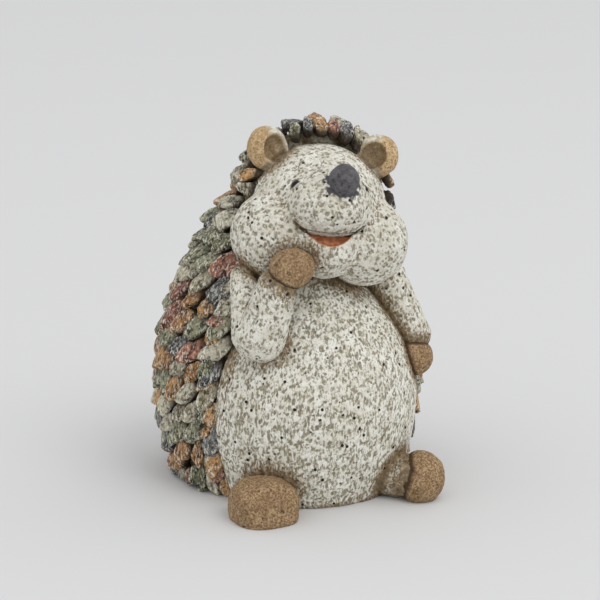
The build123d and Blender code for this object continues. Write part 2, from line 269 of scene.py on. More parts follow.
# Paints in sRGB, 0 to 255.
palette = {
    "cream": (238, 236, 226),
    "cream_shade": (220, 216, 202),
    "belly": (242, 241, 232),
    "belly_shade": (230, 227, 214),
    "stain": (182, 174, 152),
    "stroke": (156, 147, 122),
    "pit_light": (150, 143, 119),
    "pit_dark": (106, 97, 76),
    "wash_and_shade_light": (140, 114, 76),
    "wash_and_shade_dark": (98, 78, 50),
    "speck": (124, 114, 90),
    "holes_and_shade": (24, 22, 20),
    "lip": (190, 128, 84),
    "smile": (120, 62, 36),
    "nose_shadow": (78, 75, 78),
    "pore": (34, 29, 24),
    "paw_light": (190, 162, 126),
    "paw_dark": (126, 98, 68),
    "paw_deep": (66, 49, 33),
    "ear_light": (222, 194, 154),
    "ear_dark": (172, 142, 102),
    "ear_deep": (92, 74, 48),
    "rim_light": (226, 223, 208),
    "rim_dark": (182, 172, 146),
    "dry_brush_and_highlight": (255, 252, 238),
    "stone_wash_and_shade": (50, 39, 25),
    "bed_dark": (64, 52, 36),
    "bed_light": (124, 106, 76),
    "bed_cream_light": (222, 219, 204),
    "bed_cream_dark": (146, 136, 108),
    "nose_dark": (70, 68, 72),
    "nose_light": (96, 93, 96),
    "nose_pit": (44, 42, 45),
    "nose_worn": (150, 146, 146),
    "rust_dark": (132, 76, 48),
    "rust_light": (186, 118, 78),
    "eye_dark": (16, 15, 15),
    "eye_light": (34, 31, 29),
}
# Light, body and dark tone of the flakes.
flake_tones = {
    "cream": ((216, 210, 188), (168, 160, 134), (74, 63, 42)),
    "olive": ((156, 155, 124), (104, 103, 76), (42, 38, 25)),
    "ochre": ((208, 162, 104), (158, 110, 60), (66, 43, 23)),
    "charcoal": ((120, 119, 118), (70, 70, 72), (28, 27, 26)),
    "brick": ((194, 138, 112), (140, 82, 62), (62, 36, 28)),
}


def srgb(red, green, blue):
    """An sRGB colour, 0 to 255, as Blender's linear light."""
    shares = np.array([red, green, blue]) / 255
    linear = np.where(shares <= 0.04045, shares / 12.92, ((shares + 0.055) / 1.055) ** 2.4)
    return (*(float(value) for value in linear), 1.0)


def paint(name):
    return srgb(*palette[name])


# Turned frames.
def turn(axis, degrees):
    """The matrix of a turn about one axis."""
    c, s = cos(radians(degrees)), sin(radians(degrees))
    if axis == "x":
        return np.array([[1, 0, 0], [0, c, -s], [0, s, c]])
    if axis == "y":
        return np.array([[c, 0, s], [0, 1, 0], [-s, 0, c]])
    return np.array([[c, -s, 0], [s, c, 0], [0, 0, 1]])


head_turned = turn("z", -head_turn_deg) @ turn("x", -head_up_deg) @ turn("y", head_tip_deg)


def in_head(points):
    """Points of the figure in the head's frame."""
    return (points - head_at) @ head_turned


def from_head(points):
    """Points of the head's frame in the figure's."""
    return np.array(points, float) @ head_turned.T + head_at


def mirrored(place, side):
    return side * place[0], place[1], place[2]


# Fields.
def ellipsoid(points, centre, radii):
    """A bulge: near its surface, the distance to it."""
    reach = points - np.array(centre)
    near = np.linalg.norm(reach / np.array(radii), axis=1)
    steep = np.linalg.norm(reach / np.array(radii) ** 2, axis=1)
    return near * (near - 1) / np.maximum(steep, 1e-6)


def egg(points, centre, radius, rise, drop):
    """An egg between two parabolas, leaning forward."""
    local = (points - np.array(centre)) @ turn("x", egg_lean_deg)
    height = np.where(local[:, 2] > 0, rise, drop)
    ring = radius * (1 - (local[:, 2] / height) ** 2)
    slope = 2 * radius * local[:, 2] / height**2
    return (np.hypot(local[:, 0], local[:, 1]) - ring) / np.hypot(1, slope)


def limb(points, start, end, start_radius, end_radius):
    """A round bar with round ends, whose radius changes evenly."""
    start, end = np.array(start, float), np.array(end, float)
    span = end - start
    along = np.clip((points - start) @ span / (span @ span), 0, 1)
    reach = np.linalg.norm(points - start - along[:, None] * span, axis=1)
    return reach - start_radius - (end_radius - start_radius) * along


def join(a, b, soft):
    """The union of two fields, with a fillet as wide as soft."""
    share = np.clip(0.5 + 0.5 * (b - a) / soft, 0, 1)
    return b + (a - b) * share - soft * share * (1 - share)


def carve(a, b, soft):
    """Field a without field b."""
    return -join(-a, b, soft)


# Noise.
def noise(points, size, seed):
    """Smooth noise, 0 to 1, with cells of one size."""
    cells = 32
    table = np.random.default_rng(seed).random((cells, cells, cells))
    scaled = points / size
    cell = np.floor(scaled).astype(int)
    part = scaled - cell
    part = part * part * (3 - 2 * part)
    total = np.zeros(len(points))
    for corner in np.ndindex(2, 2, 2):
        share = np.prod(np.where(corner, part, 1 - part), axis=1)
        total += share * table[tuple(((cell + corner) % cells).T)]
    return total


def rough(points, size, seed):
    """Two octaves of noise round zero."""
    return (noise(points, size, seed) - 0.5) + 0.5 * (noise(points, size / 2, seed + 1) - 0.5)


def waves(points, *layers):
    """Relief from layers of rough noise."""
    return sum(height * rough(points, size, seed) for height, size, seed in layers)


def pits(points, spacing, radius, seed, kept=1.0, flow=(0, 0, 0), long=1.5):
    """Irregular pits in a jittered lattice: 1 in the middle of a pit, 0 off it."""
    bent = points + spacing * 0.4 * np.stack([rough(points, 2.6, seed + k) for k in (11, 13, 17)], 1)
    rng = np.random.default_rng(seed)
    cells = 24
    lattice = (cells, cells, cells)
    jitter = rng.random((*lattice, 3))
    axes = rng.normal(size=(*lattice, 3)) + np.array(flow)
    axes /= np.linalg.norm(axes, axis=3)[..., None]
    sizes = rng.uniform(0.55, 1.25, lattice) * (rng.random(lattice) < kept)
    cell = np.floor(bent / spacing).astype(int)
    deepest = np.zeros(len(points))
    for offset in np.ndindex(3, 3, 3):
        at = cell + np.array(offset) - 1
        key = tuple((at % cells).T)
        reach = bent - (at + jitter[key]) * spacing
        along = np.sum(reach * axes[key], axis=1)
        far = np.sqrt(np.maximum(np.sum(reach * reach, axis=1) - (1 - 1 / long**2) * along**2, 0))
        size = radius * sizes[key]
        deepest = np.maximum(deepest, np.clip(1.25 - far / np.maximum(size, 1e-6), 0, 1) * (size > 0))
    return np.minimum(1, deepest * 1.3)


# Meshes.
def slopes(field, points):
    """Outward directions of a field at points."""
    step = 0.25
    parts = []
    for axis in np.eye(3):
        parts.append(field(points + axis * step) - field(points - axis * step))
    direction = np.stack(parts, 1)
    return direction / np.maximum(np.linalg.norm(direction, axis=1)[:, None], 1e-9)


def surface_net(field, low, high, step):
    """Points and quads where a field is zero: one point for each cell that the surface crosses.

    The field is read in coarse blocks first, and cell by cell only near its surface.
    """
    block = 6
    size = [int(np.ceil((b - a) / step / block)) * block for a, b in zip(low, high)]
    coarse = np.stack(np.meshgrid(*(np.arange(n // block) for n in size), indexing="ij"), -1)
    middles = np.array(low) + step * (block * coarse + (block - 1) / 2)
    values = field(middles.reshape(-1, 3)).reshape(coarse.shape[:3])
    for axis in range(3):
        values = np.repeat(values, block, axis=axis)
    close = np.abs(values) < 1.1 * block * step
    values[close] = field(np.array(low) + step * np.argwhere(close))
    inside = values < 0
    shape = tuple(n - 1 for n in values.shape)
    corners = list(np.ndindex(2, 2, 2))
    count = sum(
        inside[i:i + shape[0], j:j + shape[1], k:k + shape[2]].astype(int) for i, j, k in corners
    )
    cells = np.argwhere((count > 0) & (count < 8))
    index = -np.ones(shape, int)
    index[tuple(cells.T)] = np.arange(len(cells))
    at_corner = {c: values[tuple((cells + c).T)] for c in corners}
    total = np.zeros((len(cells), 3))
    number = np.zeros(len(cells))
    for a in corners:
        for axis in range(3):
            if a[axis]:
                continue
            b = tuple(1 if k == axis else a[k] for k in range(3))
            crossed = (at_corner[a] < 0) != (at_corner[b] < 0)
            share = at_corner[a] / np.where(crossed, at_corner[a] - at_corner[b], 1)
            place = np.array(a, float) + share[:, None] * (np.array(b) - np.array(a))
            total[crossed] += place[crossed]
            number += crossed
    points = np.array(low) + step * (cells + total / number[:, None])
    quads = []
    for axis in range(3):
        u, v = (axis + 1) % 3, (axis + 2) % 3
        first = [slice(None)] * 3
        second = [slice(None)] * 3
        first[axis], second[axis] = slice(0, -1), slice(1, None)
        for outward in (True, False):
            a, b = inside[tuple(first)], inside[tuple(second)]
            edges = np.argwhere(a & ~b if outward else ~a & b)
            across = edges[:, [u, v]]
            edges = edges[((across > 0) & (across < (shape[u], shape[v]))).all(1)]
            ring = []
            for du, dv in ((0, 0), (-1, 0), (-1, -1), (0, -1)):
                step_back = np.zeros(3, int)
                step_back[u], step_back[v] = du, dv
                ring.append(index[tuple((edges + step_back).T)])
            quad = np.stack(ring, 1)
            quads.append(quad if outward else quad[:, ::-1])
    quads = np.concatenate(quads)
    quads = quads[(quads >= 0).all(1)]
    for _ in range(2):
        points -= field(points)[:, None] * slopes(field, points)
    return points, quads


def add_object(name, data):
    made = bpy.data.objects.new(name, data)
    bpy.context.scene.collection.objects.link(made)
    return made


def mesh_object(name, points, faces, masks=None):
    """A smooth-shaded object in the frame, with masks as vertex attributes."""
    mesh = bpy.data.meshes.new(name)
    mesh.from_pydata(((points + axis_at) * mm).tolist(), [], [list(face) for face in faces])
    for mask, values in (masks or {}).items():
        attribute = mesh.attributes.new(mask, "FLOAT", "POINT")
        attribute.data.foreach_set("value", np.asarray(values, np.float32))
    mesh.shade_smooth()
    return add_object(name, mesh)


def finish_piece(made, material, slot, *nodes):
    """A piece's material and body, and the CAD nodes that it stands for, which it hides. The slot is not used.
    """
    made.data.materials.append(material)
    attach(made, "root")
    if nodes:
        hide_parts(*nodes)


# Materials.
class Nodes:
    """A material's nodes, made in few words."""

    def __init__(self, name):
        self.material = bpy.data.materials.new(name)
        self.material.use_nodes = True
        self.tree = self.material.node_tree
        self.shader = self.tree.nodes["Principled BSDF"]
        self.place = self.tree.nodes.new("ShaderNodeTexCoord").outputs["Object"]

    def link(self, value, socket):
        """Join an output to a socket, or set the socket to a value."""
        if hasattr(value, "is_output"):
            self.tree.links.new(value, socket)
        else:
            socket.default_value = value

    def mask(self, name):
        """A vertex attribute's value."""
        node = self.tree.nodes.new("ShaderNodeAttribute")
        node.attribute_name = name
        return node.outputs["Fac"]

    def noise(self, size, detail=4.0, roughness=0.6, stroke=1.0):
        """Noise whose largest grain is about size millimetres, drawn out along a slanted line by stroke."""
        node = self.tree.nodes.new("ShaderNodeTexNoise")
        node.inputs["Scale"].default_value = 1 / (size * mm)
        node.inputs["Detail"].default_value = detail
        node.inputs["Roughness"].default_value = roughness
        place = self.place
        if stroke != 1:
            drawn = self.tree.nodes.new("ShaderNodeMapping")
            drawn.inputs["Rotation"].default_value = (0, radians(35), 0)
            drawn.inputs["Scale"].default_value = (1, 1, 1 / stroke)
            self.tree.links.new(place, drawn.inputs["Vector"])
            place = drawn.outputs["Vector"]
        self.tree.links.new(place, node.inputs["Vector"])
        return node.outputs["Fac"]

    def pores(self, spacing, radius):
        """Spots about spacing millimetres apart, whose radius is a share of that."""
        node = self.tree.nodes.new("ShaderNodeTexVoronoi")
        node.inputs["Scale"].default_value = 1 / (spacing * mm)
        self.tree.links.new(self.place, node.inputs["Vector"])
        return self.band(node.outputs["Distance"], 0.8 * radius, radius, 1.0, 0.0)

    def band(self, value, low, high, out_low=0.0, out_high=1.0):
        """A smooth step of value between low and high."""
        node = self.tree.nodes.new("ShaderNodeMapRange")
        node.interpolation_type = "SMOOTHSTEP"
        self.link(value, node.inputs["Value"])
        limits = {"From Min": low, "From Max": high, "To Min": out_low, "To Max": out_high}
        for socket, number in limits.items():
            node.inputs[socket].default_value = number
        return node.outputs["Result"]

    def maths(self, operation, a, b=0.0):
        node = self.tree.nodes.new("ShaderNodeMath")
        node.operation = operation
        self.link(a, node.inputs[0])
        self.link(b, node.inputs[1])
        return node.outputs["Value"]

    def mix(self, share, a, b):
        node = self.tree.nodes.new("ShaderNodeMix")
        node.data_type = "RGBA"
        self.link(share, node.inputs["Factor"])
        self.link(a, node.inputs["A"])
        self.link(b, node.inputs["B"])
        return node.outputs["Result"]

    def bump(self, height, distance, strength=1.0):
        node = self.tree.nodes.new("ShaderNodeBump")
        node.inputs["Distance"].default_value = distance * mm
        node.inputs["Strength"].default_value = strength
        self.link(height, node.inputs["Height"])
        self.tree.links.new(node.outputs["Normal"], self.shader.inputs["Normal"])

    def done(self, colour, roughness, specular=0.35):
        self.link(colour, self.shader.inputs["Base Color"])
        self.link(roughness, self.shader.inputs["Roughness"])
        self.shader.inputs["Specular IOR Level"].default_value = specular
        return self.material


def cream_material(name, stroke, marked, light, shade):
    """Cream paint over pits, washed brown in the hollows, where the brown is painted shade as well.

    Its marks are longer than wide by stroke, and show by the share marked.
    """
    n = Nodes(name)
    patches = n.band(n.noise(14.0, 3.0), 0.35, 0.65)
    colour = n.mix(patches, light, shade)
    stain = n.band(n.noise(4.0, 5.0, 0.7), 0.46, 0.64, 0.0, 0.4)
    colour = n.mix(stain, colour, paint("stain"))
    marks = n.noise(1.4, 4.0, 0.65, stroke)
    pit_tone = n.mix(n.band(n.noise(3.0), 0.35, 0.65), paint("pit_light"), paint("pit_dark"))
    pit = n.maths("MULTIPLY", n.mask("pit"), n.band(marks, 0.36, 0.56, 0.25, 1.2))
    colour = n.mix(n.band(marks, 0.52, 0.62, 0.0, marked), colour, paint("stroke"))
    colour = n.mix(n.band(pit, 0.15, 0.8, 0.0, 0.85), colour, pit_tone)
    # Brown in folds, near other castings and near the floor is washed-in paint and painted shade at once. Its
    # edge is ragged.
    ragged = n.maths("ADD", n.mask("wash_and_shade"), n.band(marks, 0.3, 0.7, -0.35, 0.35))
    wash_and_shade_tone = n.mix(n.band(n.noise(4.0), 0.4, 0.6), paint("wash_and_shade_light"), paint("wash_and_shade_dark"))
    colour = n.mix(n.band(ragged, 0.1, 0.9, 0.0, 0.92), colour, wash_and_shade_tone)
    speck = n.band(n.noise(1.0, 2.0, 0.7), 0.60, 0.70, 0.0, 0.6)
    colour = n.mix(speck, colour, paint("speck"))
    # Near black in the holes, and painted shade in the smile's crease and round the eyes.
    colour = n.mix(n.mask("holes_and_shade"), colour, paint("holes_and_shade"))
    colour = n.mix(n.mask("lip"), colour, paint("lip"))
    colour = n.mix(n.mask("rust"), colour, paint("smile"))
    colour = n.mix(n.mask("slate"), colour, paint("nose_shadow"))
    colour = n.mix(n.pores(8.5, 0.14), colour, paint("pore"))
    swell = n.maths("MULTIPLY", n.noise(5.0, 3.0), 0.6)
    n.bump(n.maths("ADD", n.maths("MULTIPLY", marks, -1.0), swell), 0.6, 0.8)
    return n.done(colour, n.band(n.noise(2.0), 0.3, 0.7, 0.62, 0.85), 0.3)


def paw_material(name, light, dark, deep):
    """Tan paint with a sandy grain."""
    n = Nodes(name)
    colour = n.mix(n.band(n.noise(1.6, 5.0, 0.8), 0.42, 0.58), dark, light)
    colour = n.mix(n.band(n.noise(9.0, 3.0), 0.35, 0.7, 0.0, 0.55), colour, dark)
    colour = n.mix(n.band(n.noise(1.2, 3.0, 0.75), 0.55, 0.64, 0.0, 0.8), colour, deep)
    colour = n.mix(n.band(n.mask("pit"), 0.3, 0.8, 0.0, 0.7), colour, deep)
    # Deep brown: the cup's paint in an ear, and painted shade where another casting meets a paw or an ear.
    colour = n.mix(n.band(n.mask("wash_and_shade"), 0.1, 0.8, 0.0, 0.9), colour, deep)
    cream_tone = n.mix(n.band(n.noise(2.4), 0.4, 0.6), paint("rim_light"), paint("rim_dark"))
    colour = n.mix(n.mask("cream"), colour, cream_tone)
    n.bump(n.noise(1.0, 5.0, 0.7), 0.5, 0.8)
    return n.done(colour, 0.8, 0.25)


def flake_material(name, light, body, dark):
    """Split stone: tones that differ from stone to stone, dark hollows, painted shade by the bed and
    dry-brushed edges that are painted highlights too.
    """
    n = Nodes(name)
    colour = n.mix(n.band(n.mask("tone"), 0.0, 1.0, 0.0, 0.8), body, light)
    colour = n.mix(n.band(n.noise(3.6, 5.0, 0.75), 0.47, 0.60, 0.0, 0.8), colour, dark)
    colour = n.mix(n.band(n.mask("relief"), 0.15, 0.55, 0.95, 0.0), colour, dark)
    # Pale streaks on the stones' edges: dry-brushed wear and painted highlights in one.
    brushed = n.band(n.noise(1.5, 4.0, 0.75, 2.5), 0.51, 0.57)
    worn = n.maths("MULTIPLY", n.band(n.mask("edge"), 0.0, 0.7, 0.5, 1.0), brushed)
    colour = n.mix(worn, colour, n.mix(0.6, light, paint("dry_brush_and_highlight")))
    # Painted shade, brown as if washed in, low on each stone by the bed.
    colour = n.mix(n.band(n.mask("wash_and_shade"), 0.0, 0.7, 0.0, 0.95), colour, paint("stone_wash_and_shade"))
    grain = n.maths("MULTIPLY", n.noise(0.9, 3.0), 0.35)
    n.bump(n.maths("ADD", n.noise(2.6, 6.0, 0.75), grain), 1.2, 0.9)
    return n.done(colour, n.band(n.noise(2.0), 0.3, 0.7, 0.6, 0.85), 0.3)


def bed_material():
    """Brown mortar between the flakes, cream where it meets the face and the belly."""
    n = Nodes("mantle_stone")
    colour = n.mix(n.band(n.noise(3.0, 5.0, 0.65), 0.35, 0.65), paint("bed_dark"), paint("bed_light"))
    patches = n.band(n.noise(2.2, 4.0, 0.7), 0.44, 0.58)
    cream_tone = n.mix(patches, paint("bed_cream_light"), paint("bed_cream_dark"))
    colour = n.mix(n.band(n.mask("cream"), 0.2, 0.8), colour, cream_tone)
    n.bump(n.noise(1.8, 5.0, 0.7), 0.8, 0.8)
    return n.done(colour, 0.85, 0.3)


def nose_material():
    """Dark slate paint, worn pale on its grain."""
    n = Nodes("nose_slate")
    colour = n.mix(n.band(n.noise(3.0, 4.0), 0.35, 0.65), paint("nose_dark"), paint("nose_light"))
    colour = n.mix(n.band(n.mask("pit"), 0.2, 0.8, 0.0, 0.7), colour, paint("nose_pit"))
    colour = n.mix(n.band(n.noise(1.4, 5.0, 0.7), 0.60, 0.72, 0.0, 0.6), colour, paint("nose_worn"))
    n.bump(n.noise(1.6, 4.0), 0.4, 0.5)
    return n.done(colour, n.band(n.noise(2.0), 0.3, 0.7, 0.45, 0.7), 0.4)


def rust_material():
    """Rust paint inside the mouth."""
    n = Nodes("mouth_rust")
    colour = n.mix(n.band(n.noise(4.0, 4.0), 0.35, 0.65), paint("rust_dark"), paint("rust_light"))
    n.bump(n.noise(1.5, 4.0), 0.4, 0.5)
    return n.done(colour, 0.6, 0.4)


def eye_material():
    """A black bead."""
    n = Nodes("eye_black")
    colour = n.mix(n.band(n.noise(1.0), 0.4, 0.6), paint("eye_dark"), paint("eye_light"))
    n.bump(n.noise(0.7), 0.1, 0.4)
    return n.done(colour, 0.5, 0.2)


# The forms of each casting.
def hood(points):
    """The back of the head, behind the brow."""
    local = in_head(points)
    return np.maximum(ellipsoid(local, hood_at, hood_radii), hood_edge - local[:, 1])


def mantle(points):
    whole = egg(points, mantle_at, mantle_radius, mantle_rise, mantle_drop)
    return np.maximum(whole, -seam_ahead - points[:, 1])


def core(points):
    """The hollow inside both castings, open at the floor."""
    return egg(points, core_at, core_radius, core_rise, core_drop)


def belly(points):
    whole = egg(points, belly_at, belly_radius, belly_rise, belly_drop)
    whole = np.maximum(whole, -core(points))
    return np.maximum(np.maximum(whole, points[:, 1] + seam_ahead - belly_overlap), -points[:, 2])


def bed(points):
    """The mantle and the hood between the flakes, reaching ahead under the head."""
    whole = egg(points, mantle_at, mantle_radius - bed_depth, mantle_rise, mantle_drop)
    whole = join(whole, hood(points) + bed_depth, bed_fillet)
    front = -seam_ahead - points[:, 1] + np.where(points[:, 2] > neck_height, -neck_ahead, 0)
    whole = np.maximum(whole, -core(points))
    return np.maximum(np.maximum(whole, front), -points[:, 2])


def muzzle(local):
    """The muzzle and the bridge of the nose, in the head's frame."""
    return join(ellipsoid(local, muzzle_at, muzzle_radii), limb(local, *bridge), bridge_fillet)


def lip_gap(local):
    """How far the lower lip hangs below the upper one."""
    return mouth_gap * (1 - (local[:, 0] / mouth_half) ** 2)


def mouth_hollow(local):
    """The open mouth: a crescent that follows the upper lip and narrows to both ends."""
    upper = muzzle(local)
    depth = np.maximum(-mouth_depth - ellipsoid(local, chin_at, chin_radii), local[:, 2] - smile_top)
    return np.maximum(np.maximum(upper - lip_gap(local), -upper), depth)


def mouth_floor(points):
    """The lining of the mouth, deepest under the upper lip."""
    local = in_head(points)
    upper, gap = muzzle(local), lip_gap(local)
    fall = mouth_floor_fall * np.clip(1 - upper / np.maximum(gap, 0.5), 0, 1)
    front = ellipsoid(local, chin_at, chin_radii) + mouth_floor_depth + fall
    ends = np.maximum(-upper - 1.5, np.abs(local[:, 0]) - mouth_half)
    return np.maximum(np.maximum(upper - gap - 1.0, front), ends)


def below_smile(local):
    """0 above the corners of the smile, 1 from a little below them."""
    return np.clip((smile_top - local[:, 2]) / smile_fade, 0, 1)


def smile(lower, upper, local):
    """The crease where the muzzle meets what is below it, deeper at the corners."""
    below = below_smile(local)
    corner = np.clip((np.abs(local[:, 0]) - smile_half + corner_long) / corner_fade, 0, 1)
    corner *= np.clip(2 - 2 * below, 0, 1)
    deeper = corner_radius * corner * np.clip(4 * below, 0, 1)
    return np.where(below > 0, np.hypot(lower, upper) - crease_radius * below - deeper, 9.0)


def head(points):
    """Skull, chin, cheeks and muzzle, with the smile pressed in under the muzzle."""
    local = in_head(points)
    face = ellipsoid(local, (0, 0, 0), skull_radii)
    face = join(face, ellipsoid(local, chin_at, chin_radii), chin_fillet)
    for side in (-1, 1):
        face = join(face, ellipsoid(local, mirrored(cheek_at, side), cheek_radii), cheek_fillet)
    upper = muzzle(local)
    fillet = muzzle_fillet - (muzzle_fillet - smile_fillet) * below_smile(local)
    face = carve(join(face, upper, fillet), smile(face, upper, local), smile_edge)
    return carve(face, mouth_hollow(local), mouth_edge)


def nose(points):
    local = in_head(points)
    lobe = ellipsoid(local, np.array(nose_at) + nose_lobe_off, nose_lobe_radii)
    return join(ellipsoid(local, nose_at, nose_radii), lobe, nose_fillet)


def ear_centre(side):
    return np.array([side * ear_apart / 2, 0, ear_rise])


def in_ear(points, side):
    """Points of the figure in an ear's frame."""
    return (in_head(points) - ear_centre(side)) @ turn("z", side * -ear_inward_deg)


def ear_mouth(local, side):
    return np.linalg.norm(local - (side * ear_mouth_aside, -ear_mouth_ahead, 0), axis=1) - ear_mouth_radius


def ear(side):
    """The field of a round cup that opens forward and inward."""
    def field(points):
        local = in_ear(points, side)
        cup = ellipsoid(local, (0, 0, 0), (ear_radius, ear_thick, ear_radius))
        root = limb(in_head(points), ear_centre(side), mirrored(ear_root_at, side), *ear_root_radii)
        return carve(join(cup, root, ear_fillet), ear_mouth(local, side), ear_edge)

    return field


def arm_right(points):
    return join(limb(points, *upper_arm), limb(points, *forearm), elbow_fillet)


def arm_left(points):
    return limb(points, *hanging_arm)


def hand_right(points):
    return join(ellipsoid(points, *raised_fist), ellipsoid(points, *raised_wrist), wrist_fillet)


def hand_left(points):
    return ellipsoid(points, *hanging_fist)


def leg_left(points):
    return np.maximum(limb(points, *short_leg), -points[:, 2])


def foot_left(points):
    foot = join(ellipsoid(points, *left_toe), ellipsoid(points, *left_sole), sole_fillet)
    return np.maximum(foot, -points[:, 2])


def foot_right(points):
    """A rounded block with a groove and a dimple in its toe."""
    reach = np.abs((points - right_foot_at) / right_foot_radii)
    power = right_foot_power
    block = (np.sum(reach**power, axis=1) ** (1 / power) - 1) * right_foot_mean
    block = carve(block, limb(points, *toe_dimple), dimple_edge)
    return np.maximum(carve(block, limb(points, *toe_groove), groove_edge), -points[:, 2])


castings = {
    "belly": belly, "head": head, "mantle": mantle, "hood": hood,
    "arm_right": arm_right, "arm_left": arm_left, "hand_right": hand_right, "hand_left": hand_left,
    "foot_right": foot_right, "foot_left": foot_left, "leg_left": leg_left,
    "ear_right": ear(-1), "ear_left": ear(1),
}


def near_others(points, own, reach):
    """1 where another casting touches, falling to 0 a reach away."""
    nearest = np.full(len(points), 1e3)
    for name, field in castings.items():
        if name not in own:
            nearest = np.minimum(nearest, np.abs(field(points)))
    return np.clip(1.1 - nearest / reach, 0, 1)


def evened(points, quads, rounds):
    """The points of a mesh after rounds of moving each to the mean of its neighbours."""
    edges = np.concatenate([quads[:, [k, (k + 1) % 4]] for k in range(4)])
    ends = np.concatenate([edges, edges[:, ::-1]])
    number = np.maximum(np.bincount(ends[:, 0], minlength=len(points)), 1)
    mean = points
    for _ in range(rounds):
        sums = [np.bincount(ends[:, 0], mean[ends[:, 1], k], len(points)) for k in range(3)]
        mean = np.stack(sums, 1) / number[:, None]
    return mean


def cream_casting(field, name, own, pit_pattern):
    """A cream casting's mesh, with pits pressed in and masks for its paint."""
    points, quads = surface_net(field, *spaces[name], cream_step)
    normals = slopes(field, points)
    points += normals * waves(points, *cream_waves)[:, None]
    pit = pits(points, *pit_pattern)
    holes_and_shade = pits(points, *cream_holes)
    # The brown gathers in folds, near the other castings and towards the floor, as washed-in paint and painted
    # shade.
    lifted = np.sum((evened(points, quads, fold_rounds) - points) * normals, axis=1)
    fold = np.clip(lifted / fold_depth - 0.1, 0, 1)
    floor_line = np.clip(0.8 - points[:, 2] / floor_darkening_reach, 0, 1)
    wash_and_shade = np.maximum(np.maximum(near_others(points, own, cream_wash_and_shade_reach), fold), floor_line)
    points -= normals * (cream_pit_depth * pit + cream_hole_depth * holes_and_shade)[:, None]
    points[:, 2] = np.maximum(points[:, 2], 0)
    masks = {"pit": pit, "wash_and_shade": wash_and_shade, "holes_and_shade": np.clip(holes_and_shade * 1.5 - 0.4, 0, 1)}
    return points, quads, masks


def no_face(points):
    """The face's masks, for a casting that has none of its paint."""
    return {mask: np.zeros(len(points)) for mask in ("lip", "rust", "slate")}


cream = cream_material("cream_stone", 1.4, 0.3, paint("cream"), paint("cream_shade"))

# Trunk.
strokes = cream_material("cream_strokes", 3.0, 0.75, paint("belly"), paint("belly_shade"))
points, quads, masks = cream_casting(belly, "trunk", ("belly",), trunk_pits)
masks |= no_face(points)
finish_piece(mesh_object("trunk_cast", points, quads, masks), strokes, "cream_stone", "trunk")

# Head: the mouth's rim, the lip, the painted shade in the smile's crease and round the eyes, and the nose's
# painted shadow are masks.
points, quads, masks = cream_casting(head, "head", ("head", "hood", "mantle"), head_pits)
local = in_head(points)
hollow, lower_lip = mouth_hollow(local), muzzle(local) - lip_gap(local)
masks["rust"] = np.clip(1.2 - np.maximum(hollow, 0) / 0.4, 0, 1) * (hollow < 0.4) * (muzzle(local) > 0.5)
masks["lip"] = np.clip(1.6 - np.abs(lower_lip - 0.3) / 0.6, 0, 1) * (lip_gap(local) > 0.3)
masks["lip"] *= (local[:, 1] < -lips_ahead) & (local[:, 2] < smile_top)
line = smile(ellipsoid(local, chin_at, chin_radii), muzzle(local), local)
# Painted shade along the smile's crease.
smile_crease_shade = 0.6 * np.clip(1.1 - line / 0.5, 0, 1) * (np.abs(local[:, 0]) < smile_half)
masks["holes_and_shade"] = np.maximum(masks["holes_and_shade"], smile_crease_shade)
for side in (-1, 1):
    corner_reach = np.linalg.norm(local - mirrored(smile_corner_at, side), axis=1)
    masks["wash_and_shade"] = np.maximum(masks["wash_and_shade"], np.clip(1.5 - corner_reach / 6, 0, 1))
# Painted shade round each eye's bead.
for side_name in ("eye_right", "eye_left"):
    spot = np.mean(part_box(side_name), axis=0) / mm - axis_at
    socket = np.clip(4.0 - np.linalg.norm(points - spot, axis=1), 0, 1)
    masks["holes_and_shade"] = np.maximum(masks["holes_and_shade"], socket)
nose_share = np.linalg.norm((local - nose_at) / nose_shadow_radii, axis=1) + waves(points, *shadow_waves)
masks["slate"] = np.clip((1.12 - nose_share) / 0.12, 0, 1) * (local[:, 2] < nose_at[2] + 2)
finish_piece(mesh_object("head_cast", points, quads, masks), cream, "cream_stone", "head")

# Arms and the short leg.
for name, nodes in (
    ("arm_right", ("upper_arm_right", "forearm_right")),
    ("arm_left", ("arm_left",)),
    ("leg_left", ("leg_left",)),
):
    points, quads, masks = cream_casting(castings[name], name, (name,), limb_pits)
    masks |= no_face(points)
    finish_piece(mesh_object(f"{name}_cast", points, quads, masks), cream, "cream_stone", *nodes)

# Paws.
paw = paw_material("paw_stone", paint("paw_light"), paint("paw_dark"), paint("paw_deep"))
ear_paint = paw_material("ear_stone", paint("ear_light"), paint("ear_dark"), paint("ear_deep"))
for name in ("hand_right", "hand_left", "foot_right", "foot_left"):
    points, quads = surface_net(castings[name], *spaces[name], paw_step)
    normals = slopes(castings[name], points)
    pit = pits(points, *paw_pits)
    points += normals * (waves(points, *paw_waves) - paw_pit_depth * pit)[:, None]
    # Painted shade where another casting meets the paw.
    wash_and_shade = near_others(points, (name,), paw_shade_reach)
    masks = {"pit": pit, "wash_and_shade": wash_and_shade, "cream": np.zeros(len(points))}
    finish_piece(mesh_object(f"{name}_cast", points, quads, masks), paw, "paw_stone", name)

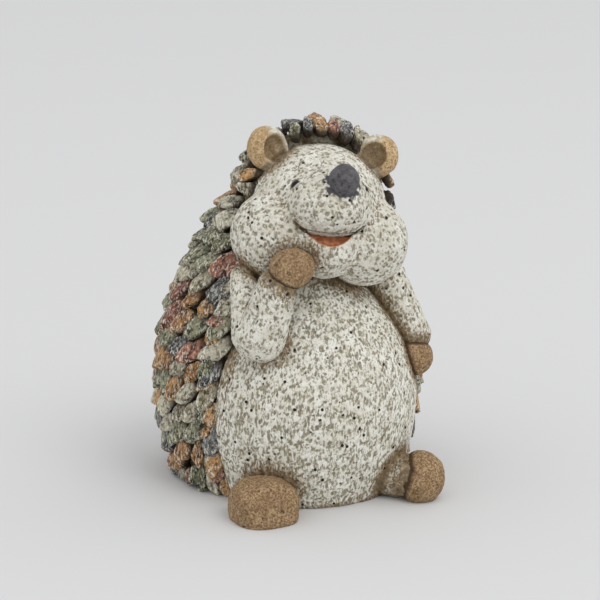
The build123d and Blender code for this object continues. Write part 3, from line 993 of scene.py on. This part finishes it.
# Ears: tan, dark in the cup, and cream on the part of the rim that is turned to the face.
for side, name in ((-1, "ear_right"), (1, "ear_left")):
    middle = from_head([ear_centre(side)])[0]
    points, quads = surface_net(castings[name], middle - ear_reach[0], middle + ear_reach[1], paw_step)
    normals = slopes(castings[name], points)
    points += normals * waves(points, *ear_waves)[:, None]
    local = in_ear(points, side)
    cup = 1 + ear_mouth(local, side) / ear_mouth_radius
    inside = np.clip((1.22 - cup) / 0.25, 0, 1)
    inner = np.clip(0.5 - (side * local[:, 0] - 2.5 + 3 * rough(points, 4.0, 29)) / 4, 0, 1)
    cream_share = inner * np.clip(0.5 - (local[:, 1] - 1) / 4, 0, 1) * (1 - inside)
    dark_cup = 0.85 * np.clip((1.2 - cup) / 0.35, 0, 1)
    # The cup's dark is paint. Near the head, the ear gets painted shade.
    wash_and_shade = np.maximum(dark_cup, near_others(points, (name,), ear_shade_reach))
    masks = {"pit": pits(points, *ear_pits), "wash_and_shade": wash_and_shade, "cream": cream_share}
    finish_piece(mesh_object(f"{name}_cast", points, quads, masks), ear_paint, "ear_stone", name)

# Nose.
middle = from_head([nose_at])[0]
points, quads = surface_net(nose, middle - nose_reach[0], middle + nose_reach[1], nose_step)
normals = slopes(nose, points)
pit = pits(points, *nose_pits)
points += normals * (waves(points, *nose_waves) - paw_pit_depth * pit)[:, None]
finish_piece(mesh_object("nose_cast", points, quads, {"pit": pit}), nose_material(), "nose_slate", "nose")

# Lining of the mouth.
middle = from_head([mouth_at])[0]
points, quads = surface_net(mouth_floor, middle - mouth_reach[0], middle + mouth_reach[1], mouth_step)
normals = slopes(mouth_floor, points)
points += normals * waves(points, *mouth_waves)[:, None]
finish_piece(mesh_object("mouth_floor", points, quads), rust_material(), "mouth_rust", "mouth")

# Mantle: the bed between the flakes, cream along the brow and the seam.
points, quads = surface_net(bed, *spaces["mantle"], bed_step)
normals = slopes(bed, points)
points += normals * waves(points, *bed_waves)[:, None]
points[:, 2] = np.maximum(points[:, 2], 0)
brow_share = 0.8 * np.clip(1 - (in_head(points)[:, 1] - hood_edge) / 3, 0, 1) * (points[:, 2] > 175)
seam_share = 0.45 * np.clip(1 - (points[:, 1] + seam_ahead) / 5, 0, 1)
masks = {"cream": np.maximum(brow_share, seam_share)}
finish_piece(mesh_object("mantle_cast", points, quads, masks), bed_material(), "mantle_stone", "mantle", "hem")


# Flakes: each CAD stone becomes a split stone, larger than its place, so that the rows overlap. A stone
# starts as a fine ball round its own middle: X is its width, Y its length and Z its thickness.
ball = bmesh.new()
bmesh.ops.create_icosphere(ball, subdivisions=4, radius=1)
unit_points = np.array([vertex.co[:] for vertex in ball.verts])
unit_faces = np.array([[vertex.index for vertex in face.verts] for face in ball.faces])
ball.free()


def stone(rng, length, width, thick):
    """One split stone, a lozenge cut by random planes and cracked: its points and their relief."""
    power = 1.6
    plan = (np.abs(unit_points[:, 0]) ** power + np.abs(unit_points[:, 1]) ** power) ** (1 / power)
    size = (plan**6 + np.abs(unit_points[:, 2]) ** 8) ** (1 / 8)
    points = unit_points / size[:, None]
    points *= (width / 2, length / 2, thick / 2)
    points[:, 0] += rng.uniform(-0.2, 0.2) * points[:, 1]
    points[:, 0] *= 1 + rng.uniform(-0.3, 0.4) * points[:, 1] / length
    points[:, 2] *= 1 + rng.uniform(-0.3, 0.5) * points[:, 0] / width
    for _ in range(stone_cuts):
        normal = rng.normal(size=3) * (1, 0.8, 0.5)
        normal /= np.linalg.norm(normal)
        reach = points @ normal
        over = np.maximum(reach - reach.max() * rng.uniform(0.66, 0.92), 0)
        points -= over[:, None] * normal
    offset = rng.uniform(0, 400, 3)
    coarse = 2 * np.abs(noise(points + offset, 7.0, 71) - 0.5)
    fine = 2 * np.abs(noise(points + offset, 2.2, 73) - 0.5)
    relief = 0.5 * np.minimum(1, 2.2 * coarse) + 0.5 * np.minimum(1, 1.8 * fine)
    outward = points / (np.linalg.norm(points, axis=1)[:, None] + 1e-6)
    return points + outward * (stone_relief * (relief - 0.6))[:, None], relief


def on_mantle(guess):
    """The nearest point of the mantle and its outward normal."""
    def field(points):
        return egg(points, mantle_at, mantle_radius, mantle_rise, mantle_drop)

    point = np.array([guess])
    for _ in range(3):
        point = point - field(point)[:, None] * slopes(field, point)
    return point[0], slopes(field, point)[0]


def ring_at(height):
    """The mantle's radius at a height, before it leans."""
    reach = mantle_rise if height > mantle_at[2] else mantle_drop
    return mantle_radius * (1 - ((height - mantle_at[2]) / reach) ** 2)


def edge_places():
    """Small stones along the brow, the seam and the floor: point, normal, tailward, length, width, lean."""
    ahead = (hood_edge + brow_behind - hood_at[1]) / hood_radii[1]
    for turned in np.radians(brow_turns_deg):
        unit = np.array([sin(turned) * sqrt(1 - ahead**2), ahead, cos(turned) * sqrt(1 - ahead**2)])
        normal = head_turned @ (unit / hood_radii)
        normal /= np.linalg.norm(normal)
        forward = head_turned @ (0, -brow_forward, 0)
        point = from_head([unit * hood_radii + hood_at])[0] - brow_sunk * normal + forward
        yield point, normal, -forward, *brow_stone
    for side in (-1, 1):
        for height in seam_heights:
            place = on_mantle((side * ring_at(height), seam_behind - seam_ahead, height))
            yield *place, turn("x", -flow_down_deg) @ (0, 1, 0), *seam_stone
    ring = ring_at(floor_row_height)
    for turned in np.radians(floor_turns_deg):
        guess = (mantle_at[0] + ring * cos(turned), mantle_at[1] + ring * sin(turned), floor_row_height)
        yield *on_mantle(guess), turn("x", -floor_down_deg) @ (0, 1, 0), *floor_stone


def bed_places(node):
    """The places of a CAD node's stones: middle of the bed face, outward normal, and the way of the tail.

    The stones are told apart as islands of joined faces. A stone's bed face is its largest that looks inward.
    """
    mesh = node.data
    coords = np.array([vertex.co[:] for vertex in mesh.vertices]) / mm - axis_at
    keys = {}
    merged = np.array([keys.setdefault(tuple(np.round(place, 2)), len(keys)) for place in coords])
    unique = np.array(list(keys))
    parent = np.arange(len(unique))

    def root(i):
        while parent[i] != i:
            parent[i] = parent[parent[i]]
            i = parent[i]
        return i

    faces = [merged[list(polygon.vertices)] for polygon in mesh.polygons]
    for face in faces:
        for a, b in zip(face[:-1], face[1:]):
            parent[root(a)] = root(b)
    islands = {}
    for face in faces:
        islands.setdefault(root(face[0]), []).append(face)
    for island in islands.values():
        triangles = np.array([unique[face[:3]] for face in island])
        cross = np.cross(triangles[:, 1] - triangles[:, 0], triangles[:, 2] - triangles[:, 0])
        corners = unique[np.unique(np.concatenate(island))]
        middle = corners.mean(0)
        outward = middle - np.array([mantle_at[0], mantle_at[1], min(middle[2], neck_height)])
        outward /= np.linalg.norm(outward)
        area = np.linalg.norm(cross, axis=1)
        units = cross / np.maximum(area, 1e-9)[:, None]
        foot = max(range(len(units)), key=lambda k: area[k] * (units[k] @ -outward > 0.5))
        normal = -units[foot]
        on_bed = (corners - triangles[foot][0]) @ normal < 0.2
        base = corners[on_bed]
        centre = base.mean(0)
        _, _, axes = np.linalg.svd(base - centre)
        tailward = axes[0] - normal * (axes[0] @ normal)
        tailward /= np.linalg.norm(tailward)
        if (middle - centre) @ tailward < 0:
            tailward = -tailward
        yield centre, normal, tailward


def lay_stones(name, places, material, slot, *nodes):
    """One piece with a stone at each place, its tail leaning outward, and masks for its paint."""
    parts = {part: [] for part in ("points", "faces", "tone", "edge", "relief", "wash_and_shade")}
    for centre, normal, flow, length, width, lean_deg in places:
        size = rng.uniform(0.88, 1.12)
        length, width = length * size, width * rng.uniform(0.85, 1.15) * size
        points, relief = stone(rng, length, width, stone_thick * rng.uniform(0.85, 1.2))
        rim = np.hypot(points[:, 0] / (width / 2), points[:, 1] / (length / 2))
        tailward = flow + (0, 0, -0.3)
        tailward = tailward - normal * (tailward @ normal)
        tailward /= np.linalg.norm(tailward)
        side = np.cross(tailward, normal)
        lean = radians(lean_deg + rng.uniform(-6, 7))
        long_way = cos(lean) * tailward + sin(lean) * normal
        up_way = cos(lean) * normal - sin(lean) * tailward
        swing = radians(rng.uniform(-14, 14))
        across = cos(swing) * side + sin(swing) * long_way
        along = cos(swing) * long_way - sin(swing) * side
        placed = centre + normal * stone_lift + tailward + points @ np.stack([across, along, up_way])
        placed[:, 2] = np.maximum(placed[:, 2], 0.3)
        parts["faces"].append(unit_faces + len(unit_points) * len(parts["points"]))
        parts["points"].append(placed)
        parts["tone"].append(np.full(len(points), rng.random()))
        parts["edge"].append(np.clip(rim * 1.4 - 0.4, 0, 1))
        parts["relief"].append(relief)
        # Each stone is painted darker towards the bed, as shade with brown washed in.
        parts["wash_and_shade"].append(np.clip(1 - (placed - centre) @ normal / 6, 0, 1))
    points, faces, *masks = (np.concatenate(part) for part in parts.values())
    made = mesh_object(name, points, faces, dict(zip(list(parts)[2:], masks)))
    finish_piece(made, material, slot, *nodes)


def from_node(node):
    """Places of a CAD node's stones, with length, width and lean."""
    for centre, normal, tailward in bed_places(node):
        at_seam = max(0, 1 - (centre[1] + seam_ahead) / seam_reach) * (centre[2] < neck_height)
        place = centre - tailward * seam_longer * at_seam
        length = stone_length + seam_longer * at_seam
        width = stone_width + back_wider * min(1, max(0, centre[1] / back_reach))
        yield place, normal, tailward, length, width, stone_lean_deg


rng = np.random.default_rng(7)
crowding = ("head", "arm_right", "arm_left", "hand_right", "hand_left", "foot_right", "ear_right", "ear_left")
rows = []
for place in edge_places():
    at = place[0] + place[1] * row_lift
    clear = min(castings[name](at[None])[0] for name in crowding) > row_clearance
    outside = max(hood(at[None])[0], 0) + max(mantle(at[None])[0], 0) > row_bed_gap
    if clear and outside and at[1] > row_seam_gap - seam_ahead:
        rows.append(place)
for count, (colour, tones) in enumerate(flake_tones.items()):
    slot = f"flake_{colour}"
    material = flake_material(slot, *(srgb(*tone) for tone in tones))
    for name, node in sorted(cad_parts.items()):
        if name.startswith("flakes_") and name.endswith(colour):
            lay_stones(name.replace("flakes", "stones"), from_node(node), material, slot, name)
    picked = [rows[k] for k in range(len(rows)) if (k * 7) % 13 % len(flake_tones) == count]
    lay_stones(f"stones_edge_{colour}", picked, material, slot)

# Eyes keep their CAD beads.
eye = eye_material()
for name in ("eye_right", "eye_left"):
    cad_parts[name].data.materials.clear()
    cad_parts[name].data.materials.append(eye)

# Floor, backdrop, light and camera.
floor_mesh = bpy.data.meshes.new("floor")
corners = [(x * floor_half_m, y * floor_half_m, 0) for x, y in ((-1, -1), (1, -1), (1, 1), (-1, 1))]
floor_mesh.from_pydata(corners, [], [(0, 1, 2, 3)])
floor = add_object("floor", floor_mesh)
n = Nodes("floor_grey")
floor.data.materials.append(n.done((backdrop_grey, backdrop_grey, backdrop_grey, 1.0), 0.9, 0.1))

world = bpy.data.worlds.new("studio")
bpy.context.scene.world = world
world.use_nodes = True
background = world.node_tree.nodes["Background"]
background.inputs["Color"].default_value = sky_colour
background.inputs["Strength"].default_value = sky_strength


def look_from(made, turn_deg, rise_deg, distance, aim):
    """Put a lamp or a camera a distance from its aim, in metres, and turn it there."""
    a, e = radians(turn_deg), radians(rise_deg)
    way = Vector((sin(a) * cos(e), -cos(a) * cos(e), sin(e)))
    made.location = way * distance + Vector(aim)
    made.rotation_euler = way.to_track_quat("Z", "Y").to_euler()


key = bpy.data.lights.new("key", "AREA")
key.shape = "DISK"
key.size = key_size_m
key.energy = key_watts
look_from(add_object("key", key), key_turn_deg, key_rise_deg, key_distance_m, key_aim_m)

camera = add_object("camera", bpy.data.cameras.new("camera"))
camera.data.lens = camera_lens
camera.data.clip_start = 0.05
camera.data.clip_end = 50
aim = (np.array(camera_aim) + axis_at) * mm
look_from(camera, camera_turn_deg, camera_rise_deg, camera_distance * mm, aim)
bpy.context.scene.camera = camera
bpy.context.scene.view_settings.view_transform = "Standard"
